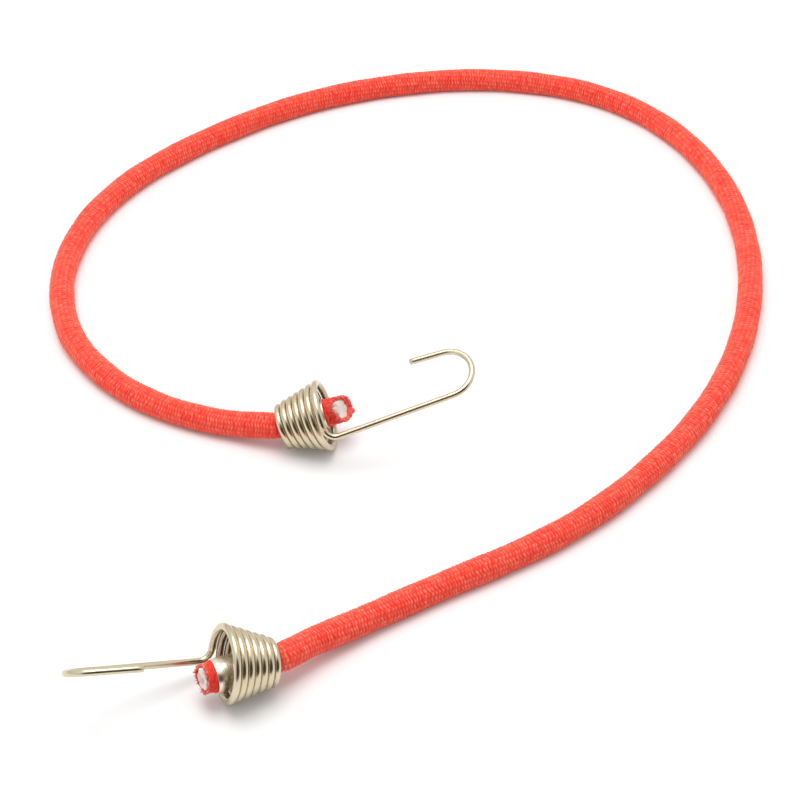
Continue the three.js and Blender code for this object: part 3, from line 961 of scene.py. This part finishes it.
def add_ferrule(end):
    """A strip rolled round the cord, squeezed a little oval, its edges meeting underneath."""
    profile = strip_profile()
    half_gap = FERRULE_SEAM / (2 * FERRULE_BORE)
    round_seam = np.linspace(half_gap, FULL_TURN - half_gap, FERRULE_SIDES)[:, None]
    angle = round_seam - math.pi / 2
    along = end.ferrule_back + FERRULE_LENGTH * profile[None, :, 0]
    bore = FERRULE_BORE + FERRULE_FLARE * profile[None, :, 0]
    from_seam = np.minimum(round_seam, FULL_TURN - round_seam) * FERRULE_BORE
    curl = SEAM_CURL * np.exp(-((from_seam / SEAM_CURL_WIDTH) ** 2))
    oval = FERRULE_OVAL * np.cos(2 * angle)
    radius = bore + FERRULE_WALL * profile[None, :, 1] + oval - curl
    along, radius, angle = np.broadcast_arrays(along, radius, angle)
    points = end.from_cord(along, radius, angle).reshape(-1, 3)
    faces = flipped(tube_faces(FERRULE_SIDES, len(profile)))
    drawn = np.stack([radius * np.cos(angle), radius * np.sin(angle), along], -1).reshape(-1, 3)
    strip = make_mesh("crimp_" + end.letter, points, faces, STRIP, {"drawn": drawn})
    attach(strip, "end_" + end.letter)
    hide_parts("ferrule_" + end.letter)


# Wire hooks


def coil_point(turn, pitch, seed):
    """Points of the coil in its own frame, at these turns from the coil's narrow end."""
    share = turn / COIL_TURNS
    fade = np.minimum(1, (1 - share) / WOBBLE_FADE)
    uneven = COIL_WOBBLE * np.sin(WOBBLE_STEP * turn + seed) * fade
    splay = TAIL_SPLAY * np.clip(1 - (turn + TAIL_TURN) / (2 * TAIL_TURN), 0, 1) ** 2
    radius = COIL_START_RADIUS + (COIL_END_RADIUS - COIL_START_RADIUS) * share + uneven + splay
    angle = FULL_TURN * (turn - COIL_TURNS)
    along = pitch * (turn - COIL_TURNS)
    return np.stack([along, radius * np.cos(angle), radius * np.sin(angle)], -1)


def arc(start, along, inward, radius, angles):
    """Points of an arc that leaves start along one direction and turns towards another."""
    return start + radius * (np.outer(np.sin(angles), along) + np.outer(1 - np.cos(angles), inward))


def steps_to(end, count):
    """Even steps from 0 to a value, without the 0."""
    return np.linspace(0, end, count + 1)[1:]


def hook_line(facts):
    """Middle of the hook's wire in the coil's frame, with the wire's radius at each point."""
    coil_steps = round((COIL_TURNS + TAIL_TURN) * COIL_STEPS)
    turns = np.linspace(-TAIL_TURN, COIL_TURNS, coil_steps + 1)
    coil = coil_point(turns, facts["coil_pitch"], facts["seed"])
    leaving = unit(coil[-1] - coil[-2])
    lean = math.tan(math.radians(facts["shank_lean"]))
    sway = math.tan(math.radians(facts["shank_sway"]))
    shank = unit([1.0, -lean, sway])
    inward = unit(shank - leaving * np.dot(shank, leaving))
    exit_angles = steps_to(math.acos(np.dot(leaving, shank)), EXIT_BEND_STEPS)
    bend = arc(coil[-1], leaving, inward, EXIT_BEND_RADIUS, exit_angles)
    straight = bend[-1] + np.outer(steps_to(facts["shank_length"], SHANK_STEPS), shank)
    outwards = unit(np.array([0.0, 1.0, 0.0]) - shank * shank[1])
    opening = turned(outwards, shank, math.radians(facts["bend_roll"]))
    last_angle = math.radians(facts["bend_angle"])
    hook_angles = steps_to(last_angle, HOOK_BEND_STEPS)
    hook = arc(straight[-1], shank, opening, facts["bend_radius"], hook_angles)
    back = shank * math.cos(last_angle) + opening * math.sin(last_angle)
    tip = hook[-1] + np.outer(steps_to(facts["tip_length"], HOOK_TIP_STEPS), back)
    points = np.vstack([coil, bend, straight, hook, tip])
    radii = np.full(len(points), WIRE_RADIUS)
    radii[: len(coil)] += (COIL_WIRE_RADIUS - WIRE_RADIUS) * smoothstep(turns / THIN_TURNS)
    return points, radii


def with_cut_ends(points, radii):
    """The line with a small chamfer added at both of its ends."""
    first = points[0] + unit(points[0] - points[1]) * WIRE_CHAMFER
    last = points[-1] + unit(points[-1] - points[-2]) * WIRE_CHAMFER
    points = np.vstack([first, points, last])
    radii = np.concatenate([[radii[0] - WIRE_CHAMFER], radii, [radii[-1] - WIRE_CHAMFER]])
    return points, radii


def in_coil(count):
    """1 at the wire's points in the coil, fading to 0 where the wire leaves it."""
    turn = np.arange(count) / COIL_STEPS - TAIL_TURN
    return smoothstep((COIL_TURNS - turn) / COIL_FADE)


def leaned(end, points):
    """The wire's line with the coil's turns leaning back at the top."""
    height = (points - end.mouth) @ end.above
    back = in_coil(len(points)) * height * math.tan(math.radians(end.facts["coil_lean"]))
    return points - back[:, None] * end.axis


def inner_shade_share(end, line, rings):
    """How far each of the wire's points faces the coil's axis, from 0 to 1, within the coil: the
    share of its painted shade.
    """
    away = line - end.mouth
    away = away - np.outer(away @ end.axis, end.axis)
    away /= np.linalg.norm(away, axis=1)[:, None]
    out = rings - line[:, None, :]
    out /= np.linalg.norm(out, axis=2)[..., None]
    facing = -np.einsum("ijk,ik->ij", out, away)
    return smoothstep(facing / INNER_FACING) * in_coil(len(line))[:, None]


def add_hook(end):
    """One wire from the coil's narrow end to the hook's cut tip."""
    points, radii = with_cut_ends(*hook_line(end.facts))
    line = leaned(end, end.from_coil(points))
    rings, lengths = swept_rings(line, radii, WIRE_SIDES)
    faces = tube_faces(len(rings), WIRE_SIDES)
    turns, along = np.broadcast_arrays(round_turn(WIRE_SIDES)[None, :], lengths[:, None])
    drawn = np.stack([np.cos(turns), np.sin(turns), along], -1).reshape(-1, 3)
    # inner carries the share of the painted shade inside the coil
    reads = {"drawn": drawn, "inner": inner_shade_share(end, line, rings).ravel()}
    hook = make_mesh("wire_hook_" + end.letter, rings.reshape(-1, 3), faces, WIRE, reads)
    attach(hook, "hook_" + end.letter)
    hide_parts("hook_" + end.letter)


# Floor and light


def floor_material():
    """White that shows part of itself to the eye and to reflections whatever light falls on it."""
    shader = Shader("white_floor")
    shader.set(Base_Color=FLOOR_COLOUR, Roughness=1.0, Specular_IOR_Level=0.0)
    ray = shader.add("LightPath").outputs
    seen = shader.larger(ray["Is Camera Ray"], ray["Is Glossy Ray"])
    seen = shader.larger(seen, ray["Is Transmission Ray"])
    glow = shader.add("Emission", Strength=FLOOR_GLOW_LEVEL)
    both = shader.add("MixShader", Fac=shader.range(seen, low=0.0, high=FLOOR_GLOW))
    shader.put(both.inputs[1], shader.surface.outputs[0])
    shader.put(both.inputs[2], glow.outputs[0])
    shader.put(shader.nodes["Material Output"].inputs["Surface"], both.outputs[0])
    return shader.material


def add_floor():
    corners = [(-1, -1, 0), (1, -1, 0), (1, 1, 0), (-1, 1, 0)]
    points = FLOOR_HALF * np.array(corners, float)
    make_mesh("floor", points, [[0, 1, 2, 3]], floor_material())


def add_world():
    """A bright room, with a dark patch low in front that the wire shows as a brown band."""
    world = bpy.data.worlds.new("studio")
    bpy.context.scene.world = world
    world.use_nodes = True
    nodes = world.node_tree.nodes
    links = world.node_tree.links
    where = nodes.new("ShaderNodeTexCoord")
    split = nodes.new("ShaderNodeSeparateXYZ")
    links.new(where.outputs["Generated"], split.inputs[0])
    walls = nodes.new("ShaderNodeValToRGB")
    set_stops(walls.color_ramp, [(height, grey(light)) for height, light in ROOM_LIGHT])
    links.new(split.outputs["Z"], walls.inputs["Fac"])
    towards = nodes.new("ShaderNodeVectorMath")
    towards.operation = "DOT_PRODUCT"
    links.new(where.outputs["Generated"], towards.inputs[0])
    towards.inputs[1].default_value = unit(DARK_TOWARDS)
    inside = nodes.new("ShaderNodeMapRange")
    inside.inputs["From Min"].default_value = math.cos(math.radians(DARK_EDGE))
    inside.inputs["From Max"].default_value = math.cos(math.radians(DARK_CORE))
    links.new(towards.outputs["Value"], inside.inputs["Value"])
    mix = nodes.new("ShaderNodeMix")
    mix.data_type = "RGBA"
    links.new(inside.outputs["Result"], mix.inputs[MIX_SHARE])
    links.new(walls.outputs["Color"], mix.inputs[MIX_FIRST])
    mix.inputs[MIX_SECOND].default_value = (*DARK_LIGHT, 1.0)
    links.new(mix.outputs[MIX_RESULT], nodes["Background"].inputs["Color"])


def add_lamp():
    """A square soft lamp that looks at the origin."""
    lamp = bpy.data.lights.new("softbox", "AREA")
    lamp.size = LAMP_SIZE
    lamp.energy = LAMP_POWER
    made = bpy.data.objects.new("softbox", lamp)
    made.location = LAMP_PLACE
    made.rotation_mode = "QUATERNION"
    made.rotation_quaternion = (-Vector(LAMP_PLACE)).to_track_quat("-Z", "Y")
    bpy.context.scene.collection.objects.link(made)


add_camera()
end_a = End("a")
end_b = End("b")
line = Line(end_a, end_b)
add_cord(line)
for end in (end_a, end_b):
    add_braided_tip(end, line)
    add_fray(end)
    add_core(end)
    add_ferrule(end)
    add_hook(end)
add_floor()
add_world()
add_lamp()
bpy.context.scene.view_settings.view_transform = "Standard"
